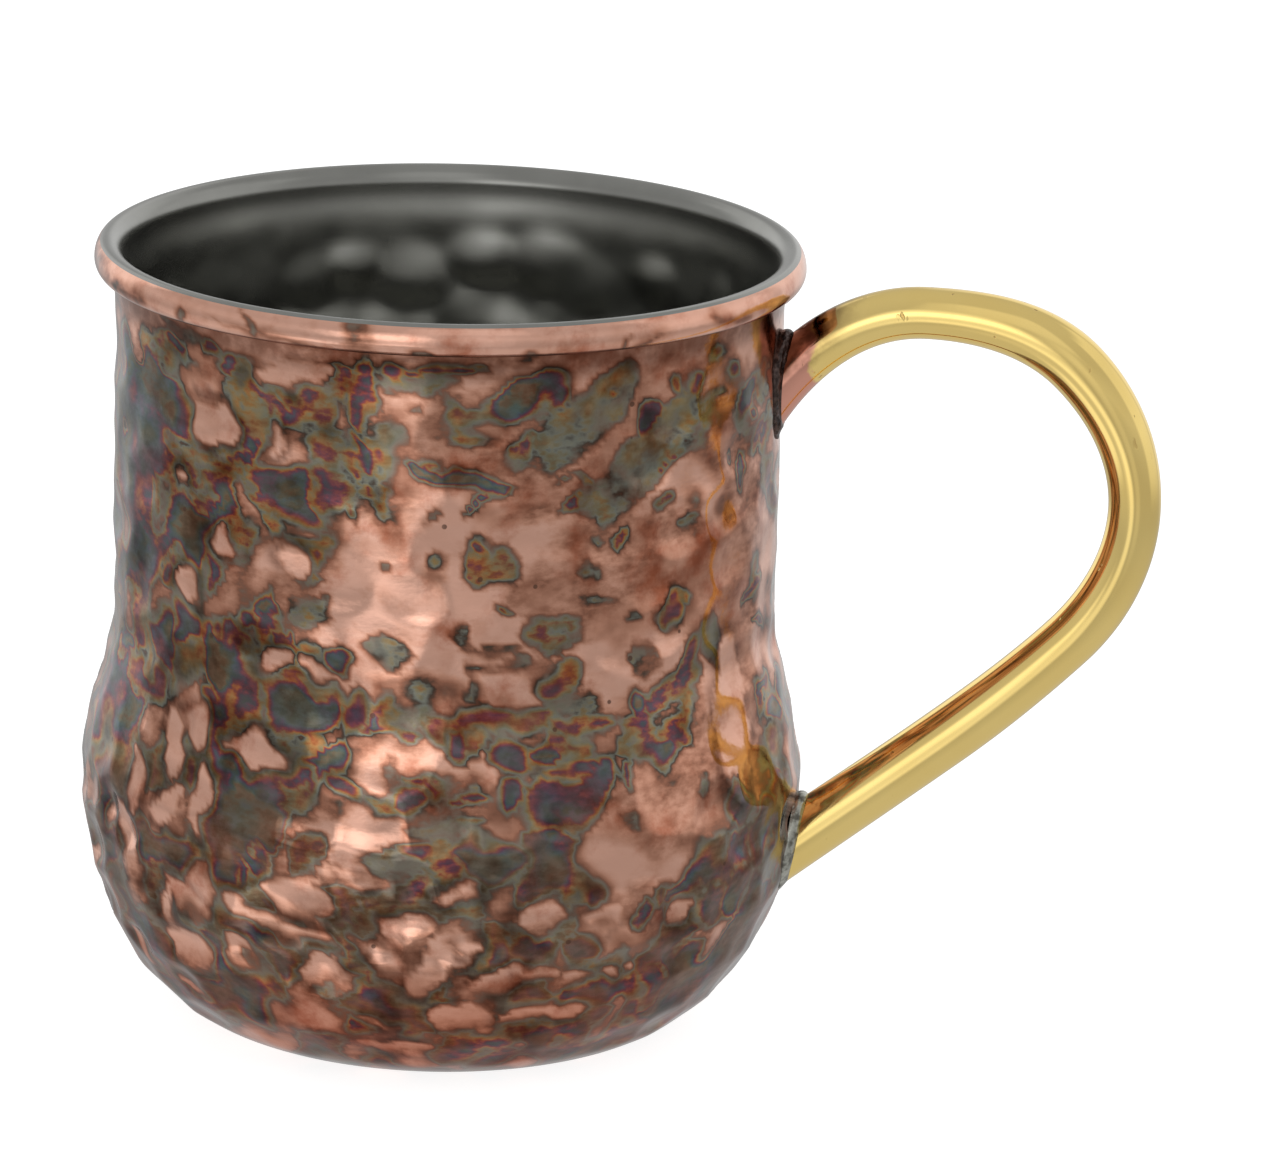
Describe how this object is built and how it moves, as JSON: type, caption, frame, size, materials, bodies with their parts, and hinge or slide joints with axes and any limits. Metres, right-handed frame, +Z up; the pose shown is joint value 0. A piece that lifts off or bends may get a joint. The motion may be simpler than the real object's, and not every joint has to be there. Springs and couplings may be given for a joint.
{
  "type": "copper mug",
  "caption": "Straight-necked copper mug with a round belly, rolled rim, grey metal lining and a bent brass rod handle.",
  "frame": {"origin": "centre of the flat base, on the mug's axis", "axes": "+Z up along the mug's axis, +X towards the handle, +Y to the left of someone facing the handle"},
  "size_m": [0.1379, 0.093, 0.102],
  "materials": {
    "copper": "hammered and polished copper with flame-coloured patina",
    "lining": "satin nickel grey",
    "brass": "polished brass",
    "dark_braze": "rough, darkened brazing metal",
    "tin_solder": "dull grey solder"
  },
  "bodies": {
    "root": {"copper_body": "copper", "inner_lining": "lining", "handle": "brass", "upper_braze": "dark_braze", "lower_solder": "tin_solder"}
  },
  "joints": []
}
